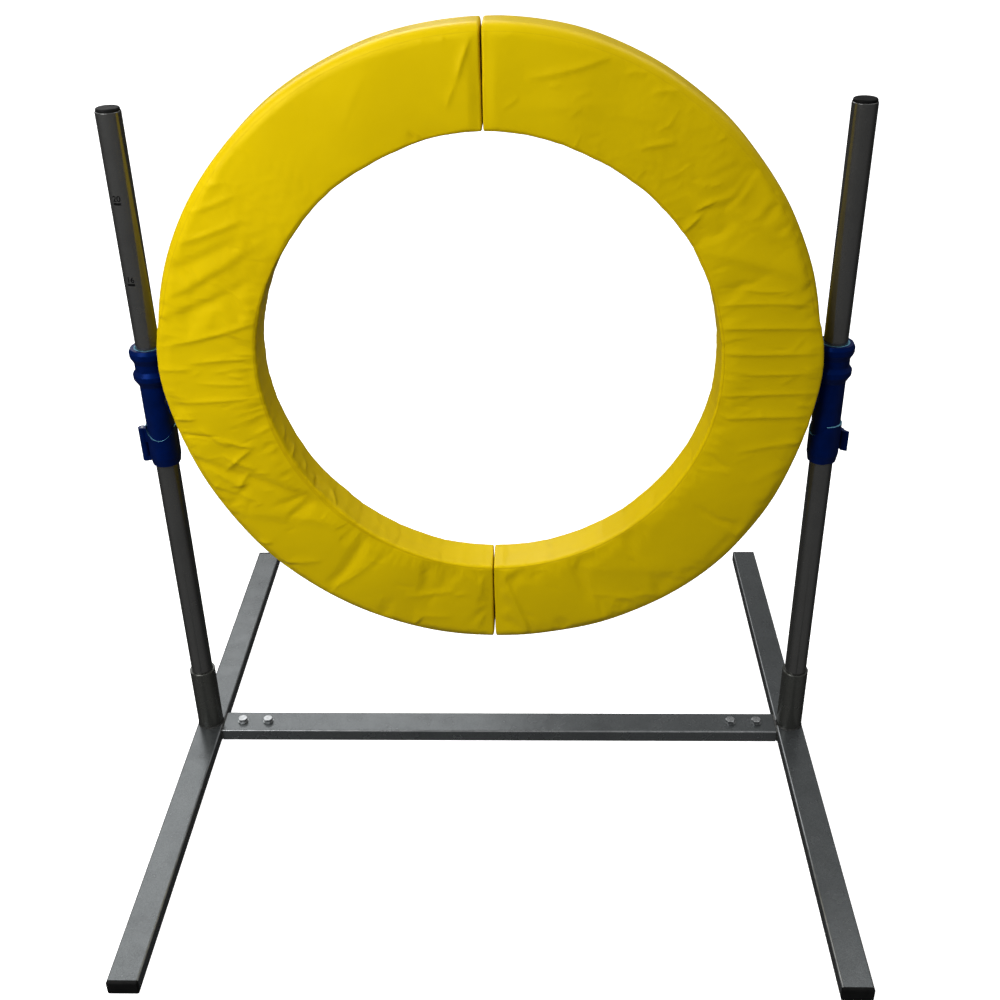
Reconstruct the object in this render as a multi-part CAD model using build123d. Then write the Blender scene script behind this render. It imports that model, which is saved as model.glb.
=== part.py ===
from build123d import *
import math
import os

# Agility hurdle: a padded hoop in two halves, hung between two posts on a tube base.
# Millimetres. +Z up, X across the hurdle (left is -X), the dog runs along +Y.
# The origin is on the ground, midway between the posts.

# Hoop
APERTURE_D = 610.0
HOOP_OUTER_D = 860.0
HOOP_DEPTH = 65.0
HOOP_Z = 635.0
SPLIT_GAP = 3.2
COVER_T = 1.0
PLATE_T = 4.8
BOARD_T = 5.0
BOARD_HALF_W = 27.0
BOARD_RADII = (310.0, 425.0)
MAGNET_T = 4.0
MAGNET_R = 10.0
MAGNET_RADII = (340.0, 395.0)
POCKET_PLAY = 0.1

# Posts
POST_SPACING = 908.0
POST_D = 31.8
POST_TOP = 967.0
TUBE_WALL = 1.5
POST_EDGE_R = 1.0
POST_CAP_H = 4.2
POST_CAP_EDGE_R = 2.4
POST_PLUG_L = 12.0
PLUG_PLAY = 0.1

# Base
FOOT_W = 40.0
FOOT_H = 20.0
FOOT_L = 1000.0
FOOT_CAP_T = 5.0
FOOT_CAP_BEVEL = 1.4
FOOT_PLUG_L = 14.0
FOOT_PLUG_WALL = 2.5
CROSSBAR_W = 45.0
CROSSBAR_GAP = 2.6
CORNER_R = 2.5
INNER_CORNER_R = 0.9

SOCKET_D = 38.1
SOCKET_TOP = 125.0
SOCKET_BORE_R = 16.0
SOCKET_EDGE = 0.6
SOCKET_LEAD_IN = 0.4
SOCKET_WELD_H = 2.8

SPIGOT_REACH = 104.0
SPIGOT_PLAY = 0.3
SPIGOT_W = CROSSBAR_W - 2 * TUBE_WALL - 2 * SPIGOT_PLAY
SPIGOT_H = FOOT_H - 2 * TUBE_WALL - 2 * SPIGOT_PLAY
SPIGOT_CORNER_R = 1.2
SPIGOT_INNER_CORNER_R = 0.4
SPIGOT_WELD_LEG = 1.7
SPIGOT_WELD_TAPER = 34.0

BOLT_OFFSETS = (31.0, 71.0)
BOLT_R = 4.0
BOLT_HOLE_R = 4.5
BOLT_L = 14.0
HEX_FLATS = 13.0
HEAD_H = 5.3
HEAD_TOP_R = 6.3
NUT_H = 6.5
NUT_PLAY = 0.05
WASHER_R = 8.0
WASHER_T = 1.6
WASHER_PLAY = 0.2

# The slider on each post: a fixed clamp collar, and above it a sleeve that turns with its half hoop
SLIDE_PLAY = 0.08
TURN_PLAY = 0.1
COLLAR_Z = 487.0
LEDGE_Z = 520.5
COLLAR_TOP = 545.0
COLLAR_R = 21.3
COLLAR_FOOT_R = 19.2
COLLAR_TAPER_H = 12.0
COLLAR_EDGE = 0.5
SCOOP_R = 19.6
SCOOP_LOW = 528.0
SLIT_W = 1.5
SLIT_TURN = 163.0
ANCHOR_TURN = 148.0
BEVEL_TURN = 48.0
PIN_R = 2.0
PIN_OFFSET = 27.2
PIN_PLAY = 0.02
KNUCKLE_R = 5.5
LUG_HALF_W = 4.2
# Heights above the collar's lower edge
COLLAR_KNUCKLES = ((3.0, 10.5), (32.0, 53.0))
LEVER_KNUCKLE = (11.0, 31.5)
LEVER_BAND = (13.0, 42.0)
ANCHOR_BAND = (16.0, 40.0)
# The lever's band, round the post: radii, and the degrees where it begins and ends
LEVER_IN_R = 24.0
LEVER_OUT_R = 28.4
LEVER_ROOT = 164.0
LEVER_TIP = 76.0
LEVER_FLARE = (84.0, 72.5, 70.0, 69.5)
LEVER_REACH = 32.82
LEVER_PIN_PLAY = 0.07
# The same clamp is turned round its post differently on the two sides
CLAMP_TURN = {"left": 0.0, "right": -75.0}

SLEEVE_R = 19.3
SLEEVE_TOP = 660.0
# The two beads: radius, and distance below the sleeve's top
BEAD_OUTLINE = (
    (25.2, 43.5), (25.4, 37.0), (21.2, 31.0), (21.2, 21.0), (25.6, 12.0), (25.8, 5.0), (23.2, 0.0),
)
BARREL_END = 54.0
BEAD_ROUND = 2.2
BORE_LEAD_IN = 1.2
SADDLE_T = 4.5
SADDLE_HALF_W = 28.0
SADDLE_LOW = 574.0
SADDLE_HIGH = 652.0
SADDLE_REST = 0.3
WEB_HALF_W = 11.0
SCREW_Y = 22.0
SCREW_HEIGHTS = (590.0, 635.0)
SCREW_R = 2.9
SCREW_HOLE_R = 3.3
SCREW_HEAD_R = 5.2
SCREW_HEAD_H = 3.0
SCREW_HEAD_BEVEL = 1.1
SCREW_BITE = 9.5

POST_R = POST_D / 2
HOOP_R = HOOP_OUTER_D / 2
APERTURE_R = APERTURE_D / 2
HALF_SPACING = POST_SPACING / 2
INNER_SIDE = HALF_SPACING - FOOT_W / 2
PLATE_OUTER_R = HOOP_R - COVER_T - POCKET_PLAY
SIDES = {"left": -1, "right": 1}
BEYOND = 10.0


def save(part, name):
    export_step(part, f"parts/{name}.step")


def side_move(sign):
    """Moves a shape made around the Z axis onto the post of that side."""
    return Pos(sign * HALF_SPACING, 0, 0)


def mirrored(shape, sign):
    """Turns a shape made for the right side round to the left, where sign is -1."""
    return shape if sign > 0 else Rot(0, 0, 180) * shape


def rod(radius, low, high):
    """A round rod on the Z axis between two heights."""
    return Pos(0, 0, (low + high) / 2) * Cylinder(radius, high - low)


def pipe(outer, inner, low, high):
    return rod(outer, low, high) - rod(inner, low - 1, high + 1)


def block(x0, x1, y0, y1, z0, z1):
    """A box given by its limits."""
    return Pos((x0 + x1) / 2, (y0 + y1) / 2, (z0 + z1) / 2) * Box(x1 - x0, y1 - y0, z1 - z0)


def turned(points):
    """A solid of revolution about Z from a closed outline of (radius, height) points."""
    outline = Plane.XZ * make_face(Polyline(*points, close=True))
    return revolve(outline, Axis.Z)


def section_tube(width, height, wall):
    """The section of a rounded rectangular tube."""
    outer = RectangleRounded(width, height, CORNER_R)
    return outer - RectangleRounded(width - 2 * wall, height - 2 * wall, CORNER_R - wall)


# Base ------------------------------------------------------------------------------------

def foot(sign):
    """A rectangular tube lying flat along Y, open at both ends."""
    tube_length = FOOT_L - 2 * FOOT_CAP_T
    tube = extrude(Plane.XZ * section_tube(FOOT_W, FOOT_H, TUBE_WALL), tube_length / 2, both=True)
    return Pos(sign * HALF_SPACING, 0, FOOT_H / 2) * tube


def foot_cap(sign, end):
    """A push-in end cap: a rounded face plate and a plug inside the tube. end is -1 or 1 along Y."""
    plate = extrude(Plane.XZ * RectangleRounded(FOOT_W, FOOT_H, CORNER_R), FOOT_CAP_T)
    plate = chamfer(plate.faces().sort_by(Axis.Y)[0].edges(), FOOT_CAP_BEVEL)
    plug_w = FOOT_W - 2 * TUBE_WALL - 2 * PLUG_PLAY
    plug_h = FOOT_H - 2 * TUBE_WALL - 2 * PLUG_PLAY
    plug = extrude(Plane.XZ * RectangleRounded(plug_w, plug_h, INNER_CORNER_R), -FOOT_PLUG_L)
    hollow_w = plug_w / 2 - FOOT_PLUG_WALL
    hollow_h = plug_h / 2 - FOOT_PLUG_WALL
    hollow = block(-hollow_w, hollow_w, FOOT_PLUG_WALL, FOOT_PLUG_L + 1, -hollow_h, hollow_h)
    cap = plate + plug - hollow
    turn = 0 if end < 0 else 180
    tube_end = end * (FOOT_L / 2 - FOOT_CAP_T)
    return Pos(sign * HALF_SPACING, tube_end, FOOT_H / 2) * Rot(0, 0, turn) * cap


def bolt_places():
    """The X of each crossbar bolt, left side first."""
    return [sign * (INNER_SIDE - offset) for sign in (-1, 1) for offset in BOLT_OFFSETS]


def bolt_holes():
    """Cutters for the bolts through an upper wall."""
    return [Pos(x, 0, 0) * rod(BOLT_HOLE_R, FOOT_H / 2, FOOT_H + 1) for x in bolt_places()]


def crossbar():
    """The flat tube that joins the feet, slipped over a spigot at each end and bolted down."""
    length = 2 * (INNER_SIDE - CROSSBAR_GAP)
    tube = extrude(Plane.YZ * section_tube(CROSSBAR_W, FOOT_H, TUBE_WALL), length / 2, both=True)
    bar = Pos(0, 0, FOOT_H / 2) * tube
    for hole in bolt_holes():
        bar -= hole
    return bar


def spigot(sign):
    """A tube stub welded to the foot's inner side, inside the crossbar's end."""
    section = RectangleRounded(SPIGOT_W, SPIGOT_H, SPIGOT_CORNER_R)
    section -= RectangleRounded(
        SPIGOT_W - 2 * TUBE_WALL, SPIGOT_H - 2 * TUBE_WALL, SPIGOT_INNER_CORNER_R
    )
    stub = extrude(Plane.YZ * section, -sign * SPIGOT_REACH)
    stub = Pos(sign * INNER_SIDE, 0, FOOT_H / 2) * stub
    for hole in bolt_holes():
        stub -= hole
    return stub


def spigot_weld(sign):
    """The fillet weld round the root of a spigot."""
    depth = CROSSBAR_GAP - SPIGOT_PLAY
    outer_w = SPIGOT_W + 2 * SPIGOT_WELD_LEG
    outer_h = SPIGOT_H + 2 * SPIGOT_WELD_LEG
    section = Plane.YZ * RectangleRounded(outer_w, outer_h, 2 * SPIGOT_CORNER_R)
    bead = extrude(section, -sign * depth, taper=SPIGOT_WELD_TAPER)
    core = Plane.YZ * RectangleRounded(SPIGOT_W, SPIGOT_H, SPIGOT_CORNER_R)
    bead -= extrude(core, 2 * depth, both=True)
    return Pos(sign * INNER_SIDE, 0, FOOT_H / 2) * bead


def hexagon_prism(low, high):
    section = RegularPolygon(HEX_FLATS / 2, 6, major_radius=False)
    return Pos(0, 0, low) * extrude(section, high - low)


def bolt():
    """M8 hexagon bolt through the top walls of crossbar and spigot, seated on its washer."""
    seat = FOOT_H + WASHER_T
    top = seat + HEAD_H
    cone = turned([(0, seat - 1), (2 * HEX_FLATS, seat - 1), (HEAD_TOP_R, top), (0, top)])
    return (hexagon_prism(seat, top) & cone) + rod(BOLT_R, seat - BOLT_L, seat)


def washer():
    return pipe(WASHER_R, BOLT_R + WASHER_PLAY, FOOT_H, FOOT_H + WASHER_T)


def weld_nut():
    """A hexagon nut welded under the spigot's upper wall."""
    top = FOOT_H - 2 * TUBE_WALL - SPIGOT_PLAY
    return hexagon_prism(top - NUT_H, top) - rod(BOLT_R + NUT_PLAY, top - NUT_H - 1, top + 1)


def socket(sign):
    """The upright tube welded on the foot that holds the post's lower end."""
    outer_r = SOCKET_D / 2
    shape = turned([
        (SOCKET_BORE_R, FOOT_H), (outer_r, FOOT_H), (outer_r, SOCKET_TOP - SOCKET_EDGE),
        (outer_r - SOCKET_EDGE, SOCKET_TOP), (SOCKET_BORE_R + SOCKET_LEAD_IN, SOCKET_TOP),
        (SOCKET_BORE_R, SOCKET_TOP - SOCKET_LEAD_IN),
    ])
    return side_move(sign) * shape


def socket_weld(sign):
    """The weld ring between the socket and the top of the foot."""
    outer_r = SOCKET_D / 2
    ring = turned([(outer_r, FOOT_H), (FOOT_W / 2, FOOT_H), (outer_r, FOOT_H + SOCKET_WELD_H)])
    return side_move(sign) * ring


def post(sign):
    """The upright, with its upper outer edge rounded."""
    tube = pipe(POST_R, POST_R - TUBE_WALL, FOOT_H, POST_TOP)
    rim = tube.edges().filter_by(GeomType.CIRCLE).group_by(Axis.Z)[-1].sort_by(SortBy.RADIUS)[-1]
    return side_move(sign) * fillet(rim, POST_EDGE_R)


def post_cap(sign):
    """A plug with a flat, round-edged head that rests on the post's end."""
    plug_r = POST_R - TUBE_WALL - PLUG_PLAY
    head_r = POST_R - POST_EDGE_R
    cap = turned([
        (0, POST_TOP - POST_PLUG_L), (plug_r, POST_TOP - POST_PLUG_L), (plug_r, POST_TOP),
        (head_r, POST_TOP), (head_r, POST_TOP + POST_CAP_H), (0, POST_TOP + POST_CAP_H),
    ])
    rim = cap.edges().filter_by(GeomType.CIRCLE).group_by(Axis.Z)[-1]
    return side_move(sign) * fillet(rim, POST_CAP_EDGE_R)


# Clamp, made around the Z axis with its hinge on -X, its scoop on -Y and its lever round the back --

def from_collar(heights):
    """Heights above the collar's lower edge as heights above the ground."""
    return [COLLAR_Z + height for height in heights]


def collar():
    """The split collar: a grip ring below, and above its ledge a cup with a U-shaped scoop."""
    grip_r = POST_R + SLIDE_PLAY
    cup_r = SLEEVE_R + TURN_PLAY
    ring = turned([
        (grip_r, COLLAR_Z), (COLLAR_FOOT_R, COLLAR_Z), (COLLAR_R, COLLAR_Z + COLLAR_TAPER_H),
        (COLLAR_R, COLLAR_TOP - COLLAR_EDGE), (COLLAR_R - COLLAR_EDGE, COLLAR_TOP),
        (cup_r, COLLAR_TOP), (cup_r, LEDGE_Z), (grip_r, LEDGE_Z),
    ])
    ring -= Pos(0, -SCOOP_R, SCOOP_LOW + SCOOP_R) * Rot(90, 0, 0) * Cylinder(SCOOP_R, 2 * SCOOP_R - 1)
    for low, high in map(from_collar, COLLAR_KNUCKLES):
        lug = Pos(-PIN_OFFSET, 0, 0) * rod(KNUCKLE_R, low, high)
        lug += block(-PIN_OFFSET, -COLLAR_R + 1, -LUG_HALF_W, LUG_HALF_W, low, high)
        ring += lug - rod(COLLAR_R - 1.3, low - 1, high + 1)
    # the anchor that the lever draws in, on the far side of the split
    low, high = from_collar(ANCHOR_BAND)
    ring += Rot(0, 0, ANCHOR_TURN) * block(COLLAR_R - 1, COLLAR_R + 2, -4, 4, low, high)
    slit = block(POST_R / 2, POST_D, -SLIT_W / 2, SLIT_W / 2, COLLAR_Z - 1, COLLAR_TOP + 1)
    ring -= Rot(0, 0, SLIT_TURN) * slit
    # a bevel across the lower edge, opposite the hinge
    ring -= Pos(COLLAR_R + 1.1, 0, COLLAR_Z - 2) * Rot(0, -BEVEL_TURN, 0) * Box(30, 44, 9)
    return ring - Pos(-PIN_OFFSET, 0, 0) * rod(PIN_R + PIN_PLAY, COLLAR_Z, COLLAR_TOP)


def lever_pin():
    low, high = COLLAR_KNUCKLES[0][0], COLLAR_KNUCKLES[-1][1]
    return Pos(-PIN_OFFSET, 0, 0) * rod(PIN_R, *from_collar((low, high)))


def at(radius, degrees):
    """A point in the XY plane by radius and direction."""
    return radius * math.cos(math.radians(degrees)), radius * math.sin(math.radians(degrees))


def lever():
    """The clamp lever: a knuckle on the pin, and a band that wraps a third of the way round."""
    middle = (LEVER_ROOT + LEVER_TIP) / 2
    bend, shoulder, tip, toe = LEVER_FLARE
    inner = ThreePointArc(*[at(LEVER_IN_R, turn) for turn in (LEVER_ROOT, middle, LEVER_TIP)])
    flare = Polyline(
        at(LEVER_IN_R, LEVER_TIP), at(LEVER_REACH - 2, toe), at(LEVER_REACH, tip),
        at(LEVER_REACH, shoulder), at(LEVER_OUT_R, bend),
    )
    outer = ThreePointArc(*[at(LEVER_OUT_R, turn) for turn in (bend, middle, LEVER_ROOT)])
    heel = Line(at(LEVER_OUT_R, LEVER_ROOT), at(LEVER_IN_R, LEVER_ROOT))
    outline = make_face(Curve([*inner.edges(), *flare.edges(), *outer.edges(), *heel.edges()]))
    low, high = from_collar(LEVER_BAND)
    band = Pos(0, 0, low) * extrude(outline, high - low)
    low, high = from_collar(LEVER_KNUCKLE)
    knuckle = Pos(-PIN_OFFSET, 0, 0) * rod(KNUCKLE_R, low, high)
    web = block(-PIN_OFFSET - 1.5, -22.6, 0, 9.5, low + 2, high)
    web = web & pipe(LEVER_OUT_R + 1.6, LEVER_IN_R, low, high)
    bore = Pos(-PIN_OFFSET, 0, 0) * rod(PIN_R + LEVER_PIN_PLAY, COLLAR_Z, COLLAR_TOP)
    return band + (web + knuckle) - bore


def clamp_move(side):
    return side_move(SIDES[side]) * Rot(0, 0, CLAMP_TURN[side])


# Half hoops -------------------------------------------------------------------------------

def hoop_cylinder(radius, half_depth):
    """A cylinder on the hoop's axis, which runs along Y."""
    return Pos(0, 0, HOOP_Z) * Rot(90, 0, 0) * Cylinder(radius, 2 * half_depth)


def hoop_band(inner, outer, half_depth):
    return hoop_cylinder(outer, half_depth) - hoop_cylinder(inner, half_depth + 1)


def half_ring(sign, inset):
    """The half hoop's solid, taken in by inset on every face."""
    ring = hoop_band(APERTURE_R + inset, HOOP_R - inset, HOOP_DEPTH / 2 - inset)
    reach = HOOP_R + BEYOND
    keep = block(SPLIT_GAP / 2 + inset, reach, -HOOP_DEPTH, HOOP_DEPTH, HOOP_Z - reach, HOOP_Z + reach)
    return ring & mirrored(keep, sign)


def saddle_window(sign, grow=0.0):
    """The space between the saddle's lower and upper edges, on one side."""
    window = block(0, HALF_SPACING, -HOOP_DEPTH, HOOP_DEPTH, SADDLE_LOW - grow, SADDLE_HIGH + grow)
    return mirrored(window, sign)


def radial_rods(sign, radius, inner, outer):
    """Rods that point at the hoop's centre, one for each saddle screw."""
    rods = []
    for height in SCREW_HEIGHTS:
        slope = math.degrees(math.asin((height - HOOP_Z) / HOOP_R))
        for y in (-SCREW_Y, SCREW_Y):
            lying = Pos((inner + outer) / 2, 0, 0) * Rot(0, 90, 0) * Cylinder(radius, outer - inner)
            rods.append(mirrored(Pos(0, y, HOOP_Z) * Rot(0, -slope, 0) * lying, sign))
    return rods


def sleeve(sign):
    """The turning sleeve: two beads over a plain barrel, and a curved saddle under the hoop's rim."""
    bore = POST_R + TURN_PLAY
    low = LEDGE_Z + TURN_PLAY
    beads = [(radius, SLEEVE_TOP - below) for radius, below in BEAD_OUTLINE]
    outline = make_face(Polyline(
        (bore, low), (SLEEVE_R, low), (SLEEVE_R, SLEEVE_TOP - BARREL_END), *beads,
        (bore + BORE_LEAD_IN, SLEEVE_TOP), (bore, SLEEVE_TOP - BORE_LEAD_IN), close=True))
    rounded = [
        v for v in outline.vertices()
        if v.X > SLEEVE_R - BORE_LEAD_IN and low + 1 < v.Y < SLEEVE_TOP - 1
    ]
    body = side_move(sign) * revolve(Plane.XZ * fillet(rounded, BEAD_ROUND), Axis.Z)
    web = block(HOOP_R - BEYOND, HALF_SPACING - SLEEVE_R / 2, -WEB_HALF_W, WEB_HALF_W,
                SADDLE_LOW + 3, SADDLE_HIGH - 3)
    body += mirrored(web, sign)
    body += hoop_band(HOOP_R, HOOP_R + SADDLE_T, SADDLE_HALF_W) & saddle_window(sign)
    body -= hoop_cylinder(HOOP_R + SADDLE_REST, HOOP_DEPTH)
    body -= side_move(sign) * rod(bore, SADDLE_LOW - BEYOND, SLEEVE_TOP + BEYOND)
    for hole in radial_rods(sign, SCREW_HOLE_R, HOOP_R - BEYOND, HOOP_R + BEYOND):
        body -= hole
    return body


def saddle_screws(sign):
    """Four M6 button-head screws from the saddle's wings into the backing plate."""
    seat = HOOP_R + SADDLE_T
    shanks = radial_rods(sign, SCREW_R, HOOP_R - SCREW_BITE, seat)
    heads = radial_rods(sign, SCREW_HEAD_R, seat, seat + SCREW_HEAD_H)
    screws = []
    for shank, head in zip(shanks, heads):
        face = head.faces().sort_by(Axis.X)[-1 if sign > 0 else 0]
        screws.append(shank + chamfer(face.edges(), SCREW_HEAD_BEVEL))
    return Compound(screws)


def plate_blank(sign, outer, grow):
    """The curved slab that the backing plate and its pocket are made from."""
    slab = hoop_band(PLATE_OUTER_R - PLATE_T - grow, outer, SADDLE_HALF_W + grow)
    return slab & saddle_window(sign, grow)


def backing_plate(sign):
    """The curved plate in the foam that the saddle screws hold."""
    plate = plate_blank(sign, PLATE_OUTER_R, 0)
    for hole in radial_rods(sign, SCREW_R + PLUG_PLAY, HOOP_R - BEYOND, HOOP_R):
        plate -= hole
    return plate


def end_places(sign, thickness):
    """The X limits of a thing of this thickness that lies against a half's end inside the cover."""
    face = SPLIT_GAP / 2 + COVER_T
    return sorted((sign * face, sign * (face + thickness)))


def board_blanks(sign, grow):
    """The upper and lower end boards without their magnet holes, or grown into their pockets."""
    x_limits = end_places(sign, BOARD_T + grow)
    half_w = BOARD_HALF_W + grow
    inner, outer = BOARD_RADII[0] - grow, BOARD_RADII[1] + grow
    blanks = []
    for up in (-1, 1):
        z_limits = sorted((HOOP_Z + up * inner, HOOP_Z + up * outer))
        blanks.append(block(*x_limits, -half_w, half_w, *z_limits))
    return blanks


def magnet_discs(sign, radius):
    x0, x1 = end_places(sign, MAGNET_T)
    disc = Rot(0, 90, 0) * Cylinder(radius, MAGNET_T)
    return [Pos((x0 + x1) / 2, 0, HOOP_Z + up * r) * disc for up in (-1, 1) for r in MAGNET_RADII]


def end_boards(sign):
    """The stiff board behind each end face, upper and lower, drilled for the magnets."""
    boards = []
    for board in board_blanks(sign, 0):
        for magnet in magnet_discs(sign, MAGNET_R + NUT_PLAY):
            board -= magnet
        boards.append(board)
    return Compound(boards)


def foam_core(sign):
    """The foam, with pockets for the plate and the boards."""
    core = half_ring(sign, COVER_T)
    core -= plate_blank(sign, HOOP_R, POCKET_PLAY)
    for board in board_blanks(sign, POCKET_PLAY):
        core -= board
    for hole in radial_rods(sign, SCREW_HOLE_R + POCKET_PLAY, HOOP_R - SCREW_BITE - 2, HOOP_R):
        core -= hole
    return core


def hoop_cover(sign):
    """The coated-fabric cover, closed round the foam."""
    cover = half_ring(sign, 0) - half_ring(sign, COVER_T)
    for hole in radial_rods(sign, SCREW_HOLE_R, HOOP_R - 2 * COVER_T, HOOP_R + COVER_T):
        cover -= hole
    return cover


def main():
    os.makedirs("parts", exist_ok=True)
    save(crossbar(), "crossbar")
    for name, make in (("crossbar_bolts", bolt), ("bolt_washers", washer), ("spigot_weld_nuts", weld_nut)):
        save(Compound([Pos(x, 0, 0) * make() for x in bolt_places()]), name)
    for side, sign in SIDES.items():
        save(foot(sign), f"{side}_foot")
        save(foot_cap(sign, -1), f"{side}_front_foot_cap")
        save(foot_cap(sign, 1), f"{side}_rear_foot_cap")
        save(spigot(sign), f"{side}_spigot")
        save(spigot_weld(sign), f"{side}_spigot_weld")
        save(socket(sign), f"{side}_socket")
        save(socket_weld(sign), f"{side}_socket_weld")
        save(post(sign), f"{side}_post")
        save(post_cap(sign), f"{side}_post_cap")
        save(clamp_move(side) * collar(), f"{side}_clamp_collar")
        save(clamp_move(side) * lever_pin(), f"{side}_lever_pin")
        save(clamp_move(side) * lever(), f"{side}_clamp_lever")
        save(sleeve(sign), f"{side}_swivel_sleeve")
        save(saddle_screws(sign), f"{side}_saddle_screws")
        save(backing_plate(sign), f"{side}_backing_plate")
        save(end_boards(sign), f"{side}_end_boards")
        save(Compound(magnet_discs(sign, MAGNET_R)), f"{side}_magnets")
        save(foam_core(sign), f"{side}_foam_core")
        save(hoop_cover(sign), f"{side}_hoop_cover")


main()
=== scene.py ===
"""Agility hurdle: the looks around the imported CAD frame.

Metres, in the CAD's own frame: +Z up, X across the hurdle (left is -X), front towards -Y.
The two padded half hoops are built here as sewn covers over foam and replace their CAD solids.
Every other part is the CAD's own shape with a procedural finish.
"""

import math

import bmesh
import bpy
import numpy as np
from mathutils import Matrix, Vector


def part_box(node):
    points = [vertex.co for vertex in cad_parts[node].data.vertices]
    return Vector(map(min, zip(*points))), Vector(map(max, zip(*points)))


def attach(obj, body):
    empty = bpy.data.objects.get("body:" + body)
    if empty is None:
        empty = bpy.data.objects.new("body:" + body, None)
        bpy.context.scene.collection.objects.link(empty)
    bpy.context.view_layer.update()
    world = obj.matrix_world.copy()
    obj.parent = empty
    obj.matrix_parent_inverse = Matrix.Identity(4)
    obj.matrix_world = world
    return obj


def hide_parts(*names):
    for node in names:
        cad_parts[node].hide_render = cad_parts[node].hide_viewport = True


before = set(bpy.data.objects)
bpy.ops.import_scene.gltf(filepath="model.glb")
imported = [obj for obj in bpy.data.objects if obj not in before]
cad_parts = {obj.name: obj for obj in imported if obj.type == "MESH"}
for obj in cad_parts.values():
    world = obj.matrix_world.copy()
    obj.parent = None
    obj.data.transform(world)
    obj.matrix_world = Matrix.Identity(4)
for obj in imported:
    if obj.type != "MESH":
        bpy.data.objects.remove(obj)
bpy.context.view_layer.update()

MM = 0.001
SIDES = {"left": -1, "right": 1}

# Places read from the frame -------------------------------------------------------------

cover_low, cover_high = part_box("right_hoop_cover")
post_low, post_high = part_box("right_post")
saddle_low, saddle_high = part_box("right_backing_plate")

HOOP_Z = (cover_low.z + cover_high.z) / 2
OUTER_R = (cover_high.z - cover_low.z) / 2
HALF_DEPTH = cover_high.y
# The soft ends nearly meet, though their CAD solids keep a wider gap
HALF_GAP = 0.5 * MM
POST_X = (post_low.x + post_high.x) / 2
POST_R = (post_high.x - post_low.x) / 2


def node_points(name):
    """The corner points of a CAD node's mesh."""
    return np.array([v.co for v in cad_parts[name].data.vertices], float)


cover_points = node_points("right_hoop_cover")
INNER_R = float(np.hypot(cover_points[:, 0], cover_points[:, 2] - HOOP_Z).min())
WIDTH = OUTER_R - INNER_R


# Procedural finishes --------------------------------------------------------------------

class Finish:
    """A node material. Each method adds nodes and returns the socket that they end in."""

    def __init__(self, name, **shader_values):
        self.material = bpy.data.materials.new(name)
        self.material.use_nodes = True
        self.tree = self.material.node_tree
        self.shader = self.tree.nodes["Principled BSDF"]
        for socket, value in shader_values.items():
            self.shader.inputs[socket.replace("_", " ")].default_value = value
        self.place = self.node("ShaderNodeTexCoord").outputs["Object"]

    def node(self, kind, **settings):
        """A new node of this kind."""
        made = self.tree.nodes.new(kind)
        for name, value in settings.items():
            setattr(made, name, value)
        return made

    def feed(self, socket, value):
        """Links value into socket, or sets it there if it is a plain value."""
        if isinstance(value, bpy.types.NodeSocket):
            self.tree.links.new(value, socket)
        else:
            socket.default_value = value

    def maths(self, operation, *values):
        """The result of a maths node."""
        made = self.node("ShaderNodeMath", operation=operation)
        for socket, value in zip(made.inputs, values):
            self.feed(socket, value)
        return made.outputs[0]

    def noise(self, size, detail=3.0, roughness=0.55, where=None, stretch=(1, 1, 1)):
        """Cloudy noise from 0 to 1 with features of about this size in metres."""
        mapping = self.node("ShaderNodeMapping")
        self.feed(mapping.inputs["Vector"], where or self.place)
        mapping.inputs["Scale"].default_value = [1 / (size * s) for s in stretch]
        made = self.node("ShaderNodeTexNoise")
        self.feed(made.inputs["Vector"], mapping.outputs[0])
        made.inputs["Scale"].default_value = 1.0
        made.inputs["Detail"].default_value = detail
        made.inputs["Roughness"].default_value = roughness
        return made.outputs[0]

    def span(self, value, low, high, to_low=0.0, to_high=1.0):
        """Maps value from low..high to to_low..to_high, and holds it at the ends."""
        made = self.node("ShaderNodeMapRange")
        for socket, v in zip(made.inputs, (value, low, high, to_low, to_high)):
            self.feed(socket, v)
        return made.outputs[0]

    def blend(self, share, a, b):
        """The colour a where share is 0, and b where it is 1."""
        made = self.node("ShaderNodeMix", data_type="RGBA")
        sockets = {s.identifier: s for s in made.inputs}
        self.feed(sockets["Factor_Float"], share)
        self.feed(sockets["A_Color"], a if isinstance(a, bpy.types.NodeSocket) else (*a, 1))
        self.feed(sockets["B_Color"], b if isinstance(b, bpy.types.NodeSocket) else (*b, 1))
        return next(s for s in made.outputs if s.identifier == "Result_Color")

    def parts(self, vector):
        """The X, Y and Z of a vector."""
        split = self.node("ShaderNodeSeparateXYZ")
        self.feed(split.inputs[0], vector)
        return split.outputs

    def attribute(self, name):
        """A number that the mesh's points carry."""
        return self.node("ShaderNodeAttribute", attribute_name=name).outputs["Fac"]

    def bump(self, height, depth, below=None):
        """Adds relief of this depth in metres, over any relief below it."""
        made = self.node("ShaderNodeBump")
        made.inputs["Distance"].default_value = depth
        self.feed(made.inputs["Height"], height)
        if below is not None:
            self.feed(made.inputs["Normal"], below)
        self.feed(self.shader.inputs["Normal"], made.outputs[0])
        return made.outputs[0]

    def set(self, socket, value):
        """Links or sets an input of the shader."""
        self.feed(self.shader.inputs[socket], value)


THREAD_PITCH = 1.1 * MM
# A seam is at full strength this near an edge's radius, and gone by the second distance
SEAM_CORE = 0.3 * MM
SEAM_REACH = 1.2 * MM
# Folds get the most painted shade where they sink this deep, and none above the second level
SHADED_BELOW = -3.5 * MM
UNSHADED_ABOVE = 0.5 * MM


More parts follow.
